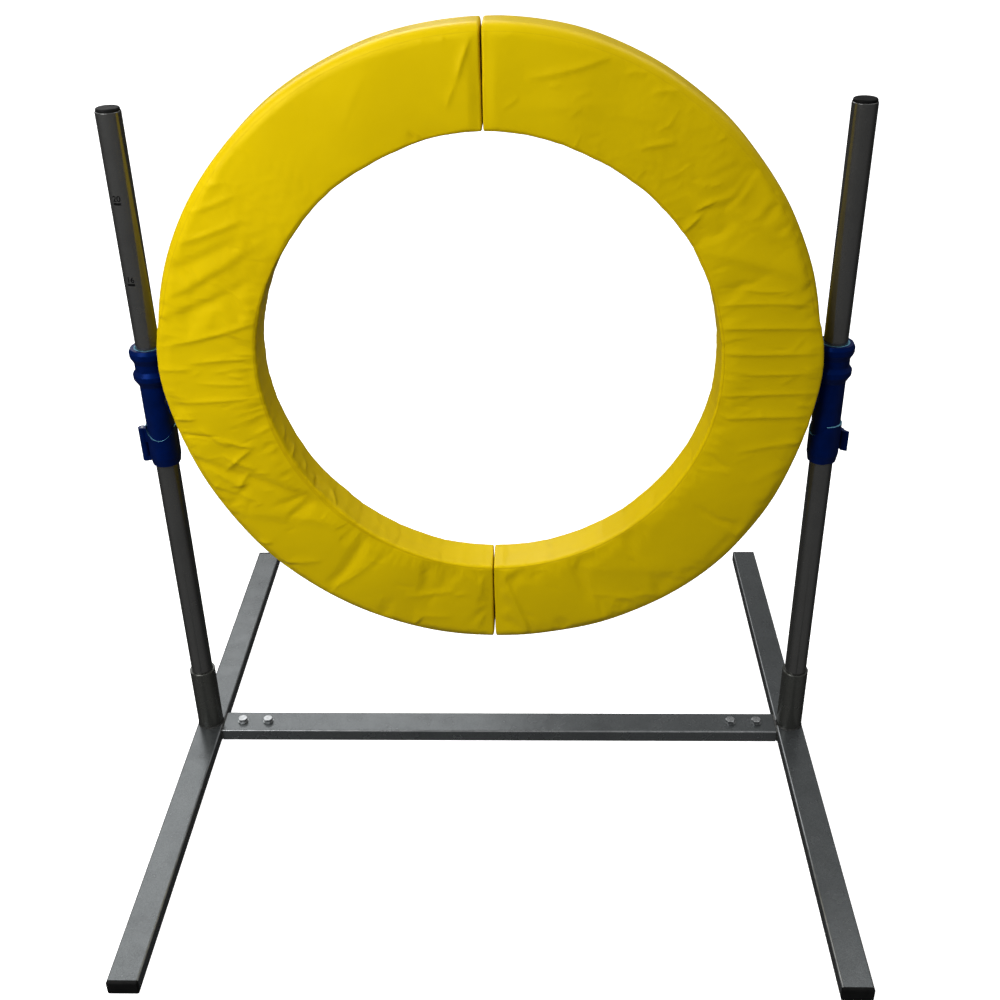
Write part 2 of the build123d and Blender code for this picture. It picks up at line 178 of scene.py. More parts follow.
def coated_fabric():
    """Yellow coated nylon: a fine weave under a satin film, with a seam along each edge, and
    painted shade in the folds' valleys.
    """
    f = Finish("coated_fabric", Specular_IOR_Level=0.3, Specular_Tint=(1.0, 0.82, 0.12, 1.0))
    along = f.attribute("along")
    across = f.attribute("across")
    relief = f.attribute("relief")
    clouds = f.noise(0.16, 2)
    base = f.blend(f.span(clouds, 0.3, 0.7), (0.80, 0.575, 0.001), (0.74, 0.525, 0.001))
    # Painted shade: the base colour turns darker brown where the folds sink in
    fold_shade = f.span(relief, SHADED_BELOW, UNSHADED_ABOVE, 0.5, 0.0)
    fold_shaded = f.blend(fold_shade, base, (0.46, 0.29, 0.001))
    seams = []
    for radius, strength in ((INNER_R, 0.5), (OUTER_R, 0.3)):
        off = f.maths("ABSOLUTE", f.maths("SUBTRACT", across, radius))
        seams.append(f.span(off, SEAM_CORE, SEAM_REACH, strength, 0.0))
    seam = f.maths("MAXIMUM", *seams)
    f.set("Base Color", f.blend(f.maths("MULTIPLY", seam, 0.5), fold_shaded, (0.34, 0.17, 0.001)))
    f.set("Roughness", f.span(f.noise(0.03, 4, 0.6), 0.3, 0.7, 0.28, 0.42))
    thread = 2 * math.pi / THREAD_PITCH
    warp = f.maths("SINE", f.maths("MULTIPLY", along, thread))
    weft = f.maths("SINE", f.maths("MULTIPLY", across, thread))
    weave = f.bump(f.maths("MULTIPLY", warp, weft), 0.000012)
    film = f.bump(f.noise(0.028, 4, 0.5), 0.0007, weave)
    f.bump(seam, -0.0003, film)
    return f.material


def sprayed_steel(name, dark, light, rough=0.2, lacquer=0.0, painted_highlight=0.0):
    """Silver hammer-smooth paint on tube: fine flake, soft unevenness, worn scratches.

    The long rounded corners of level tube get a pale painted highlight, as strong as the share
    given.
    """
    f = Finish(name, Metallic=0.6, Coat_Weight=lacquer, Coat_Roughness=0.2)
    flake = f.noise(0.0012, 2, 0.6)
    cloud = f.noise(0.05, 4, 0.6)
    paint = f.blend(f.span(flake, 0.35, 0.65), dark, light)
    aged = f.blend(f.span(cloud, 0.5, 0.8, 0.0, 0.45), paint, tuple(0.7 * c for c in dark))
    scratches = f.span(f.noise(0.006, 6, 0.75, stretch=(0.3, 0.3, 6)), 0.68, 0.85)
    wear_and_highlight = f.blend(f.maths("MULTIPLY", scratches, 0.05), aged, (0.4, 0.4, 0.39))
    # Painted highlight: the rounded corners between level and upright faces are painted pale, in
    # patches
    if painted_highlight:
        x, y, z = [
            f.maths("ABSOLUTE", part)
            for part in f.parts(f.node("ShaderNodeNewGeometry").outputs["True Normal"])
        ]
        slant = f.maths("MINIMUM", f.maths("MAXIMUM", x, y), z)
        highlight_patches = f.span(f.noise(0.02, 4, 0.6), 0.3, 0.6, 0.4, 1.0)
        corner = f.maths("MULTIPLY", f.span(slant, 0.2, 0.45, 0.0, painted_highlight), highlight_patches)
        wear_and_highlight = f.blend(corner, wear_and_highlight, (0.42, 0.43, 0.44))
    f.set("Base Color", wear_and_highlight)
    f.set("Roughness", f.span(f.noise(0.03, 4), 0.3, 0.7, rough, rough + 0.1))
    grain = f.bump(flake, 0.00002)
    f.bump(f.noise(0.012, 2), 0.00006, grain)
    return f.material


def weld_paint():
    """The same silver paint over a lumpy weld."""
    f = Finish("painted_weld", Metallic=0.8)
    lumps = f.noise(0.004, 3, 0.6)
    f.set("Base Color", f.blend(f.span(lumps, 0.3, 0.7), (0.05, 0.05, 0.047), (0.13, 0.13, 0.125)))
    f.set("Roughness", f.span(lumps, 0.3, 0.7, 0.55, 0.35))
    f.bump(lumps, 0.0012)
    return f.material


def zinc_plate():
    """Bright zinc on bolts and washers, clouded and lightly scratched."""
    f = Finish("zinc_plate", Metallic=1.0)
    cloud = f.noise(0.006, 4, 0.6)
    f.set("Base Color", f.blend(f.span(cloud, 0.3, 0.7), (0.40, 0.41, 0.42), (0.24, 0.25, 0.25)))
    f.set("Roughness", f.span(f.noise(0.002, 3), 0.3, 0.7, 0.22, 0.4))
    f.bump(f.noise(0.0008, 3, stretch=(1, 8, 1)), 0.00005)
    return f.material


def moulded_plastic(name, dark, light, rough, spark=0.5, tint=(1, 1, 1), highlight_rims=()):
    """Moulded plastic: a faint leathery grain, handling marks and uneven gloss.

    Each rim is a pair of heights and a pair of distances from the post's axis, in metres, between
    which a level edge gets a pale painted highlight.
    """
    f = Finish(name, Specular_IOR_Level=spark, Specular_Tint=(*tint, 1.0))
    cloud = f.noise(0.018, 3)
    colour = f.blend(f.span(cloud, 0.3, 0.7), dark, light)
    if highlight_rims:
        level = f.parts(f.node("ShaderNodeNewGeometry").outputs["True Normal"])[2]
        x, y, z = f.parts(f.place)
        beside = f.maths("SUBTRACT", f.maths("ABSOLUTE", x), POST_X)
        squares = [f.maths("MULTIPLY", part, part) for part in (beside, y)]
        radius = f.maths("SQRT", f.maths("ADD", *squares))
        painted_highlight = 0.0
        for low, high, inner, outer in highlight_rims:
            inside = [
                f.maths("GREATER_THAN", z, low),
                f.maths("LESS_THAN", z, high),
                f.maths("GREATER_THAN", radius, inner),
                f.maths("LESS_THAN", radius, outer),
            ]
            share = f.span(level, 0.3, 0.7)
            for test in inside:
                share = f.maths("MULTIPLY", share, test)
            painted_highlight = f.maths("MAXIMUM", painted_highlight, share)
        # Painted highlight: level faces inside the rims are painted pale blue
        colour = f.blend(f.maths("MULTIPLY", painted_highlight, 0.8), colour, (0.16, 0.42, 0.55))
    f.set("Base Color", colour)
    f.set("Roughness", f.span(f.noise(0.008, 5, 0.7), 0.3, 0.7, rough, rough + 0.12))
    grain = f.bump(f.noise(0.0009, 2), 0.00003)
    f.bump(f.noise(0.012, 3), 0.0002, grain)
    return f.material


def cut_foam():
    """Open-cell foam as cut."""
    f = Finish("cut_foam", Roughness=0.9)
    cells = f.noise(0.0015, 4, 0.7)
    f.set("Base Color", f.blend(f.span(cells, 0.35, 0.65), (0.62, 0.60, 0.52), (0.82, 0.80, 0.74)))
    f.bump(cells, 0.0006)
    return f.material


def rolled_aluminium():
    """Bare sheet with the lines of rolling."""
    f = Finish("rolled_aluminium", Metallic=1.0)
    lines = f.noise(0.0015, 3, stretch=(1, 30, 1))
    f.set("Base Color", f.blend(lines, (0.62, 0.63, 0.65), (0.74, 0.75, 0.77)))
    f.set("Roughness", f.span(lines, 0.3, 0.7, 0.3, 0.5))
    return f.material


def pressed_board():
    """Brown fibre board."""
    f = Finish("pressed_board", Roughness=0.8)
    fibres = f.noise(0.002, 5, 0.7, stretch=(1, 1, 5))
    f.set("Base Color", f.blend(fibres, (0.30, 0.19, 0.10), (0.46, 0.32, 0.18)))
    f.bump(fibres, 0.0003)
    return f.material


def height_ink():
    """Black print, worn a little."""
    f = Finish("height_ink", Specular_IOR_Level=0.05)
    wear = f.noise(0.0015, 4, 0.7)
    f.set("Base Color", f.blend(f.span(wear, 0.55, 0.8), (0.004, 0.004, 0.004), (0.03, 0.03, 0.03)))
    f.set("Roughness", f.span(wear, 0.3, 0.7, 0.4, 0.65))
    return f.material


# The collar's scooped rim, and the inner part of the sleeve's upper end, whose level faces get a
# pale painted highlight
SLIDER_HIGHLIGHT_RIMS = ((0.514, 0.546, 0.0190, 0.0216), (0.6580, 0.662, 0.0160, 0.0185))

# The base paint has a painted highlight along its rounded corners
base_paint = sprayed_steel("base_paint", (0.074, 0.080, 0.083), (0.118, 0.127, 0.130), painted_highlight=0.6)
# Painted shade: the sockets carry a darker, warmer copy of the base paint
shaded_socket_paint = sprayed_steel("shaded_socket_paint", (0.062, 0.064, 0.058), (0.098, 0.100, 0.092))
post_paint = sprayed_steel(
    "post_paint", (0.058, 0.058, 0.056), (0.088, 0.088, 0.084), rough=0.18, lacquer=1.0
)
weld_finish = weld_paint()
zinc = zinc_plate()
black_plastic = moulded_plastic(
    "black_plastic", (0.004, 0.004, 0.004), (0.009, 0.009, 0.009), 0.42, spark=0.06
)
blue_plastic = moulded_plastic(
    "blue_plastic", (0.0, 0.005, 0.045), (0.0, 0.007, 0.070), 0.28, spark=0.28,
    tint=(0.05, 0.18, 1.0), highlight_rims=SLIDER_HIGHLIGHT_RIMS
)
black_oxide = moulded_plastic(
    "black_oxide", (0.003, 0.003, 0.003), (0.007, 0.007, 0.008), 0.45, spark=0.1
)
yellow_fabric = coated_fabric()
foam = cut_foam()
aluminium = rolled_aluminium()
board = pressed_board()
ink = height_ink()

# Each CAD node's finish, by its name without its side
NODE_FINISHES = {
    "crossbar_bolts": zinc,
    "bolt_washers": zinc,
    "spigot_weld_nuts": zinc,
    "crossbar": base_paint,
    "spigot_weld": weld_finish,
    "spigot": base_paint,
    "socket_weld": weld_finish,
    "socket": shaded_socket_paint,
    "front_foot_cap": black_plastic,
    "rear_foot_cap": black_plastic,
    "foot": base_paint,
    "post_cap": black_plastic,
    "post": post_paint,
    "clamp_collar": blue_plastic,
    "clamp_lever": blue_plastic,
    "lever_pin": zinc,
    "swivel_sleeve": blue_plastic,
    "saddle_screws": black_oxide,
    "backing_plate": aluminium,
    "end_boards": board,
    "magnets": zinc,
    "foam_core": foam,
    "hoop_cover": yellow_fabric,
}


def dress_cad_nodes():
    """Gives every carried-over CAD node its procedural finish."""
    for name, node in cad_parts.items():
        plain = name.removeprefix("left_").removeprefix("right_")
        node.data.materials.clear()
        node.data.materials.append(NODE_FINISHES[plain])


# Half hoops -----------------------------------------------------------------------------

# How round the long edges are, and the edges of the split faces
INNER_EDGE_R = 5.0 * MM
OUTER_EDGE_R = 14.0 * MM
SADDLE_EDGE_R = 4.0 * MM
END_EDGE_R = 2.6 * MM
# The lattice that carries the cover, before it is subdivided, and its lines in a rounded edge
STEP_ALONG = 3.9 * MM
STEP_ACROSS = 5.8 * MM
EDGE_LINES = np.array([0, 0.3, 0.62])
HALF_RUN = math.pi * OUTER_R / 2
# How far the faces swell between the edges, and how far folds may stand up or sink in
CROWN = 2.0 * MM
CROWN_SHAPE = 0.7
FACE_SKIN = 0.1 * MM
RELIEF_LIMIT = 6.0 * MM
# Folds are gentle on this side of their line and steep on the other, by this share of their width
LIT_SIDE = np.array([-0.64, 0.77])
STEEP = 0.45
# A bowed fold is measured from this many straight pieces
BOW_PIECES = 8
# The foam's slow unevenness, and how much of it shows in the inner and outer walls
FOAM_WAVES = 10
FOAM_WAVE_HEIGHT = 0.27 * MM
FOAM_WALL_SHARE = 0.4
# Where the cover is held near the split faces, and how soon it comes free
END_HELD = 1.5 * MM
END_FADE = 16 * MM
# Where it is held round the saddle, above and below it and to its front and back
SADDLE_MARGIN = 8 * MM
SADDLE_FADE = 16 * MM
SADDLE_HELD_DEPTH = 29 * MM
SADDLE_DEPTH_FADE = 4 * MM
RIM_HELD = 3 * MM
RIM_FADE = 6 * MM
# Where it may not stand up into the saddle
SADDLE_HALF_DEPTH = 28 * MM
SADDLE_CLEAR = 0.8 * MM
SADDLE_OVERLAP = 12 * MM
REST_ON_SADDLE = 0.25 * MM
# The cheeks: how far the cover puffs out on either side of the saddle, how wide in degrees, how
# soon beside the saddle, and from how deep inside the rim to how near it
CHEEK = 5.0 * MM
CHEEK_WIDTH = 8.5
CHEEK_RISE = 1.5 * MM
CHEEK_DEPTH = 12 * MM
CHEEK_FADE = 10 * MM
# The narrow middle of a crisp fold, as shares of the fold's height and width; the folds that
# have one are those with a crest below this
CRISP_SHARE = 0.55
CRISP_WIDTH = 0.45
CRISP_CREST = 1.7
# The cloth simulation: its length in frames, the furthest that it may move a point, its spare
# length, how wide the inner and outer edges are, and how much of its move they take
SIM_FRAMES = 16
SIM_CAP = 2.2 * MM
SIM_GROWTH = 0.014
SIM_EDGE = 6 * MM
SIM_EDGE_SHARE = 0.35
# The smooth top left of the ring: its clock angle and width in degrees, and how much it is held
TAUT = (350, 50)
TAUT_SHARE = 0.75

# The folds that show on the front of each half. Each row: clock angle in degrees (0 at the top,
# clockwise seen from the front) and share of the band's width (0 at the outer edge, 1 at the
# inner) where the fold starts, and the same where it ends; then its bow, height and width in
# millimetres, and how its crest is shaped: 2 is rounded, near 1 is creased.
RIGHT_FOLDS = (
    (21, 0.08, 8, 0.46, -5, 1.8, 5.5, 1.2),
    (7, 0.05, 3.5, 0.09, 1, 1.2, 4, 1.3),
    (27, 0.09, 24, 0.16, 1, 1.3, 4, 1.3),
    (33.5, 0.06, 29.5, 0.20, 2, 1.5, 4.5, 1.3),
    (26, 0.42, 5, 0.78, 5, 0.6, 12, 2.0),
    (41, 0.16, 12, 0.70, 8, 0.6, 15, 2.0),
    (38, 0.46, 33, 0.70, 2, 1.5, 4.5, 1.2),
    (44, 0.55, 40, 0.85, 2, 0.6, 7, 2.0),
    (51.5, 0.58, 50.5, 0.78, 1, 1.8, 4.5, 1.2),
    (52, 0.76, 53, 1.02, -1, 1.2, 6, 1.6),
    (67, 0.08, 54, 0.50, -8, 1.0, 10, 2.0),
    (74, 0.0, 57.5, 1.02, 10, 2.2, 15, 2.0),
    (74, 0.28, 71, 0.72, -4, 1.4, 5, 1.3),
    (78, 0.05, 73, 1.03, 8, 1.4, 7, 1.5),
    (82.5, 0.0, 79, 1.04, 5, 1.6, 8, 1.6),
    (87, 0.0, 86, 0.98, 2, 1.5, 7, 1.4),
    (90.5, 0.0, 91, 0.90, -2, 1.2, 5, 1.3),
    (94.5, 0.0, 97, 1.0, 3, 1.4, 6, 1.4),
    (99, 0.0, 103, 0.95, 4, 1.6, 8, 1.6),
    (104, 0.0, 110, 0.62, 4, 1.1, 6, 1.5),
    (109, 0.0, 116, 0.35, 3, 0.9, 7, 2.0),
    (140, 0.28, 160, 0.88, -10, 0.9, 14, 2.0),
    (150, 0.10, 158, 0.42, 7, 0.9, 8, 1.6),
    (146, 0.05, 152, 0.22, 4, 0.9, 6, 1.5),
    (173, 0.02, 177.5, 0.90, 4, 1.4, 7, 1.6),
)
LEFT_FOLDS = (
    (200, 0.44, 189, 0.66, 3, 1.4, 6, 1.3),
    (197, 0.22, 189, 0.30, 2, 1.0, 7, 1.6),
    (197, 0.0, 195, 0.24, 0, 1.4, 5, 1.3),
    (214, 0.20, 210, 0.80, 5, 0.8, 8, 1.6),
    (227, 0.0, 220, 0.40, 3, 1.3, 7, 1.5),
    (232.5, 0.0, 230, 0.20, 0, 1.6, 4.5, 1.3),
    (240, 0.08, 221, 0.98, -8, 2.0, 16, 2.0),
    (253, 0.0, 228, 1.02, -10, -2.6, 9, 1.8),
    (247, 0.05, 238, 0.45, -3, 1.4, 5, 1.3),
    (252, 0.36, 246, 0.62, 4, 2.7, 4.5, 1.2),
    (248, 0.30, 251, 0.70, -3, 2.5, 4.5, 1.2),
    (255, 0.44, 251, 0.74, 3, 2.4, 5, 1.2),
    (243, 0.30, 246, 0.55, -3, 2.3, 4.5, 1.2),
    (250, 0.16, 244, 0.36, 3, 2.2, 4.5, 1.2),
    (258.5, 0.25, 253, 0.50, 3, 2.1, 5, 1.2),
    (258, 0.0, 256, 0.42, 0, -2.2, 5, 1.4),
    (261, 0.0, 260.5, 0.26, 0, 2.0, 4.5, 1.2),
    (264.5, 0.0, 263.5, 1.03, 3, 1.4, 6, 1.4),
    (268, 0.35, 267, 0.92, 2, 1.0, 5, 1.4),
    (270.5, 0.0, 271, 0.34, 0, 1.1, 5, 1.3),
    (272, 0.30, 274, 1.06, -3, 1.5, 6, 1.3),
    (275, 0.0, 284, 1.03, 6, 1.6, 8, 1.5),
    (280, 0.0, 293, 0.85, 8, -1.8, 9, 1.8),
    (284, 0.0, 300, 0.72, 8, 1.9, 11, 1.9),
    (289, 0.0, 300, 0.56, 5, -1.6, 9, 1.8),
    (294, 0.02, 305, 0.55, 4, 1.4, 8, 1.6),
    (300, 0.03, 308, 0.36, 3, 1.3, 5, 1.3),
    (305, 0.03, 309, 0.22, 1, 1.2, 4, 1.3),
    (341, 0.20, 332, 0.60, 3, 0.5, 8, 2.0),
    (344, 0.86, 346.5, 1.02, 0, -1.4, 6, 1.6),
    (354.5, 0.0, 354, 0.14, 0, 1.4, 4, 1.3),
    (351.5, 0.0, 350.5, 0.12, 0, 1.2, 4, 1.3),
    (358.6, 0.10, 355.5, 0.50, 3, 1.9, 6, 1.3),
    (355.5, 0.50, 353, 0.72, 2, 1.0, 6, 1.6),
    (227, 1.06, 232, 1.40, 3, 2.4, 7, 1.3),
    (230, 1.34, 237, 1.12, -3, 2.0, 6, 1.3),
    (234, 1.03, 236, 1.36, -3, -2.2, 7, 1.4),
    (239, 1.08, 243, 1.42, 2, 2.6, 7, 1.3),
    (241, 1.36, 247, 1.16, 3, 2.0, 5, 1.3),
    (245, 1.02, 246, 1.32, -2, 2.2, 6, 1.3),
    (250, 1.06, 254, 1.44, 3, 1.9, 6, 1.4),
)
FRONT_FOLDS = {1: RIGHT_FOLDS, -1: LEFT_FOLDS}


def spread(length, step, low_edge, high_edge):
    """Points from 0 to length about a step apart, closer together in the rounded edges."""
    near = low_edge * EDGE_LINES
    far = length - high_edge * EDGE_LINES[::-1]
    straight = length - low_edge - high_edge
    inner = np.linspace(low_edge, length - high_edge, round(straight / step) + 1)
    return np.concatenate([near, inner, far])


def lattice_lines():
    """Where the lattice lines lie along the band, across it and through its depth."""
    along = spread(2 * HALF_RUN, STEP_ALONG, END_EDGE_R, END_EDGE_R) - HALF_RUN
    across = spread(WIDTH, STEP_ACROSS, INNER_EDGE_R, OUTER_EDGE_R) + INNER_R
    through = spread(2 * HALF_DEPTH, STEP_ACROSS, OUTER_EDGE_R, OUTER_EDGE_R) - HALF_DEPTH
    return along, across, through


def band_lattice(counts):
    """The half band unrolled to a block: its surface points in lattice steps, and its quads."""
    index, steps, quads = {}, [], []

    def point(step):
        if step not in index:
            index[step] = len(steps)
            steps.append(step)
        return index[step]

    for axis in range(3):
        u, v = [a for a in range(3) if a != axis]
        for end in (0, counts[axis] - 1):
            for i in range(counts[u] - 1):
                for j in range(counts[v] - 1):
                    corner = [0, 0, 0]
                    corner[axis] = end
                    quad = []
                    for di, dj in ((0, 0), (1, 0), (1, 1), (0, 1)):
                        corner[u], corner[v] = i + di, j + dj
                        quad.append(point(tuple(corner)))
                    quads.append(quad)
    return np.array(steps), quads


def lobe(clock, centre, width):
    """A smooth bump of height 1 round a clock angle, all in degrees."""
    off = (clock - centre + 180) % 360 - 180
    return np.exp(-((off / width) ** 2))


def outer_edge_radius(clock):
    """How round the outer edges are: soft all round, but pulled square under the saddle."""
    under = np.maximum(lobe(clock, 93, 13), lobe(clock, 267, 13))
    return OUTER_EDGE_R - (OUTER_EDGE_R - SADDLE_EDGE_R) * np.clip(1.5 * under, 0, 1)


# How far the soft edges stand outside a true circle. Each row: clock angle and width of a smooth
# bump in degrees, and its height in millimetres.
INNER_BUMPS = (
    (0, 26, 3.6), (25, 16, -1.6), (76, 22, -2.4), (229, 30, -6.2), (253, 12, -1.5), (302, 17, -3.8),
    (335, 14, -3.0),
)
OUTER_BUMPS = ((16, 18, 3.2), (136, 28, 10.0), (288, 14, 3.5))


def out_of_round(clock, bumps):
    """How far an edge stands outside a true circle, in metres."""
    return MM * sum(tall * lobe(clock, centre, width) for centre, width, tall in bumps)


def middle_clock(sign):
    """The clock angle of the middle of a half."""
    return 90 if sign > 0 else 270


class Band:
    """Surface points of one half hoop, with the directions that they may be pushed in."""

    def __init__(self, sign):
        self.sign = sign
        lines = lattice_lines()
        steps, self.quads = band_lattice([len(line) for line in lines])
        p = np.stack([line[steps[:, axis]] for axis, line in enumerate(lines)], axis=1)
        clock = middle_clock(sign) + 90 * p[:, 0] / HALF_RUN
        edge = np.where(p[:, 1] > INNER_R + WIDTH / 2, outer_edge_radius(clock), INNER_EDGE_R)
        radii = np.stack([np.full(len(p), END_EDGE_R), edge, edge], axis=1)
        low = np.array([-HALF_RUN, INNER_R, -HALF_DEPTH]) + radii
        high = np.array([HALF_RUN, OUTER_R, HALF_DEPTH]) - radii
        core = np.clip(p, low, high)
        out = (p - core) / radii
        out /= np.linalg.norm(out, axis=1)[:, None]
        self.block = core + radii * out
        facing = out / radii
        self.out = facing / np.linalg.norm(facing, axis=1)[:, None]

    def directions(self, angle):
        """Unit vectors along the band (clockwise), away from the hoop's axis, and to the back."""
        zero = np.zeros_like(angle)
        along = np.stack([np.cos(angle), zero, -np.sin(angle)], axis=1)
        away = np.stack([np.sin(angle), zero, np.cos(angle)], axis=1)
        back = np.stack([zero, zero + 1, zero], axis=1)
        return along, away, back

    def place(self):
        """The points in the frame, and the way each faces."""
        e, rho, y = self.block.T
        share = e / HALF_RUN
        centre = math.radians(middle_clock(self.sign))
        clock = np.degrees(centre + share * math.pi / 2)
        depth = (OUTER_R - rho) / WIDTH
        rho = rho + depth * out_of_round(clock, INNER_BUMPS)
        rho = rho + (1 - depth) * out_of_round(clock, OUTER_BUMPS)
        gap_angle = np.arcsin(HALF_GAP / rho)
        angle = centre + share * (math.pi / 2 - gap_angle)
        along, away, back = self.directions(angle)
        points = away * rho[:, None] + back * y[:, None]
        points[:, 2] += HOOP_Z
        o = self.out
        facing = along * o[:, :1] + away * o[:, 1:2] + back * o[:, 2:]
        return points, facing


def surface_places(points):
    """For points on a band: clock angle, radius, and the radius with both walls unrolled flat."""
    x, y, z = points[:, 0], points[:, 1], points[:, 2] - HOOP_Z
    rho = np.hypot(x, z)
    clock = np.degrees(np.arctan2(x, z)) % 360
    in_wall = np.clip(HALF_DEPTH - np.abs(y), 0, None)
    far = in_wall * (rho > OUTER_R - 0.9 * OUTER_EDGE_R)
    near = in_wall * (rho < INNER_R + 1.6 * INNER_EDGE_R)
    flat = np.where(far > 0, OUTER_R + far, np.where(near > 0, INNER_R - near, rho))
    return clock, rho, flat


def fold_heights(flat_x, flat_z, folds):
    """The height that a list of folds gives each point of the unrolled face.

    A fold is a bowed line. It leans away from the light side, so its lower flank is steep.
    """
    height = np.zeros_like(flat_x)
    here = np.stack([flat_x, flat_z], axis=1)
    for clock0, depth0, clock1, depth1, bow, tall, wide, crest in folds:
        ends = []
        for clock, depth in ((clock0, depth0), (clock1, depth1)):
            r = OUTER_R - depth * WIDTH
            turn = math.radians(clock)
            ends.append(r * np.array([math.sin(turn), math.cos(turn)]))
        run = ends[1] - ends[0]
        length = np.linalg.norm(run)
        side = np.array([run[1], -run[0]]) / length
        middle = (ends[0] + ends[1]) / 2 + side * bow * MM
        reach = (abs(bow) + 3 * wide) * MM + length / 2
        close = np.hypot(*(here - middle).T) < reach
        if not close.any():
            continue
        spot = here[close]
        best = np.full(len(spot), np.inf)
        off = np.zeros_like(spot)
        travelled = np.zeros(len(spot))
        line = [
            (1 - t) ** 2 * ends[0] + 2 * t * (1 - t) * middle + t * t * ends[1]
            for t in np.linspace(0, 1, BOW_PIECES + 1)
        ]
        for k, (a, b) in enumerate(zip(line[:-1], line[1:])):
            t = np.clip((spot - a) @ (b - a) / ((b - a) @ (b - a)), 0, 1)
            away = spot - (a + t[:, None] * (b - a))
            distance = np.hypot(*away.T)
            nearer = distance < best
            best = np.where(nearer, distance, best)
            off[nearer] = away[nearer]
            travelled = np.where(nearer, (k + t) / BOW_PIECES, travelled)
        lit = off @ LIT_SIDE > 0
        flank = np.where(lit == (tall > 0), wide, wide * STEEP) * MM
        taper = np.clip(4 * travelled * (1 - travelled), 0, 1) ** 0.6
        height[close] += tall * MM * taper * np.exp(-((best / flank) ** crest))
    return height


# The back's spokes, and how many degrees apart they start and end
SPOKES = range(-6, 7)
SPOKE_START = 4.2
SPOKE_END = 6.5
LOOSE_COUNT = 14
# How many short puckers there are: all along the inner edge, and near the saddle on the inner
# and the outer edge
INNER_PUCKERS = 40
SADDLE_PUCKERS = 18
OUTER_PUCKERS = 12


def loose_folds(sign, seed):
    """Folds for the back: spokes from the saddle, and a few loose ones."""
    rng = np.random.default_rng(seed)
    centre = middle_clock(sign)
    rows = []
    for spoke in SPOKES:
        start = centre + spoke * SPOKE_START + rng.uniform(-1.2, 1.2)
        end = centre + spoke * SPOKE_END + rng.uniform(-3, 3)
        tall = rng.uniform(1.4, 2.6) * (1 if spoke % 2 else -1)
        reach = rng.uniform(0.6, 1.05)
        rows.append((start, 0.0, end, reach, rng.uniform(-8, 8), tall, rng.uniform(5, 9), 1.6))
    for _ in range(LOOSE_COUNT):
        start = centre + rng.uniform(-84, 84)
        turn = rng.uniform(6, 18) * rng.choice((-1, 1))
        deep = rng.uniform(0.0, 0.5)
        end_deep = deep + rng.uniform(0.2, 0.6)
        rows.append((start, deep, start + turn, end_deep, rng.uniform(-9, 9),
                     rng.uniform(1.0, 2.2), rng.uniform(6, 12), rng.uniform(1.3, 2)))
    return rows


def gathers(sign, seed):
    """Short puckers: over the inner edge all along, and close together beside the saddle."""
    rng = np.random.default_rng(seed)
    centre = middle_clock(sign)
    rows = []
    for k in range(INNER_PUCKERS):
        clock = centre - 86 + 172 * (k + rng.uniform(-0.4, 0.4)) / (INNER_PUCKERS - 1)
        lean = rng.uniform(-3.5, 3.5)
        tall = rng.uniform(0.2, 0.7) * rng.choice((-1, 1))
        rows.append((clock, 1 - rng.uniform(0.02, 0.14), clock + lean, rng.uniform(1.15, 1.5),
                     rng.uniform(-3, 3), tall, rng.uniform(4, 11), 1.6))
    for k in range(SADDLE_PUCKERS):
        clock = centre - 15 + 30 * k / (SADDLE_PUCKERS - 1) + rng.uniform(-0.6, 0.6)
        lean = 0.12 * (clock - centre) + rng.uniform(-0.8, 0.8)
        rows.append((clock, 1.06, clock + lean, rng.uniform(0.62, 0.86), rng.uniform(-1, 1),
                     rng.uniform(0.5, 1.1), rng.uniform(2.6, 4), 1.3))
    for k in range(OUTER_PUCKERS):
        clock = centre - 17 + 34 * k / (OUTER_PUCKERS - 1) + rng.uniform(-0.8, 0.8)
        rows.append((clock, -0.05, clock + rng.uniform(-1, 1), rng.uniform(0.1, 0.3), 0,
                     rng.uniform(0.6, 1.1), rng.uniform(2.8, 4.5), 1.3))
    return rows


# Where the small creases crowd together on each half: clock angle, width in degrees, weight
CROWDED = {
    1: ((90, 20, 1.0), (36, 18, 0.5), (155, 16, 0.5)),
    -1: ((264, 20, 1.0), (246, 14, 1.0), (200, 14, 0.5), (292, 14, 0.6)),
}
ELSEWHERE = 0.12
CREASE_COUNT = 60


def small_creases(sign, seed):
    """Short fine creases, crowded where the fabric is pulled; most run level or rise rightwards."""
    rng = np.random.default_rng(seed)
    centre = middle_clock(sign)
    rows = []
    while len(rows) < CREASE_COUNT:
        clock = centre + rng.uniform(-85, 85)
        weight = ELSEWHERE + sum(share * lobe(clock, c, wide) for c, wide, share in CROWDED[sign])
        if rng.uniform(0, 1.1) > weight:
            continue
        depth = rng.uniform(0.05, 0.95)
        r = OUTER_R - depth * WIDTH
        x, z = r * math.sin(math.radians(clock)), r * math.cos(math.radians(clock))
        half = rng.uniform(4, 15) * MM
        lean = math.radians(rng.normal(12, 32))
        ends = []
        for way in (-half, half):
            end_x, end_z = x + way * math.cos(lean), z + way * math.sin(lean)
            end_r = math.hypot(end_x, end_z)
            ends += [math.degrees(math.atan2(end_x, end_z)), (OUTER_R - end_r) / WIDTH]
        tall = rng.uniform(0.45, 1.0) * rng.choice((-1, 1, 1))
        rows.append((*ends, rng.uniform(-3, 3), tall, rng.uniform(2.2, 3.8), 1.2))
    return rows


def undulation(clock, flat, seed):
    """The foam's own slow unevenness, in metres."""
    rng = np.random.default_rng(seed)
    total = np.zeros_like(clock)
    for _ in range(FOAM_WAVES):
        turns = rng.uniform(5, 26)
        ripple = rng.uniform(-45, 45)
        total += np.sin(np.radians(clock) * turns + flat * ripple + rng.uniform(0, 6.28))
    return total * FOAM_WAVE_HEIGHT


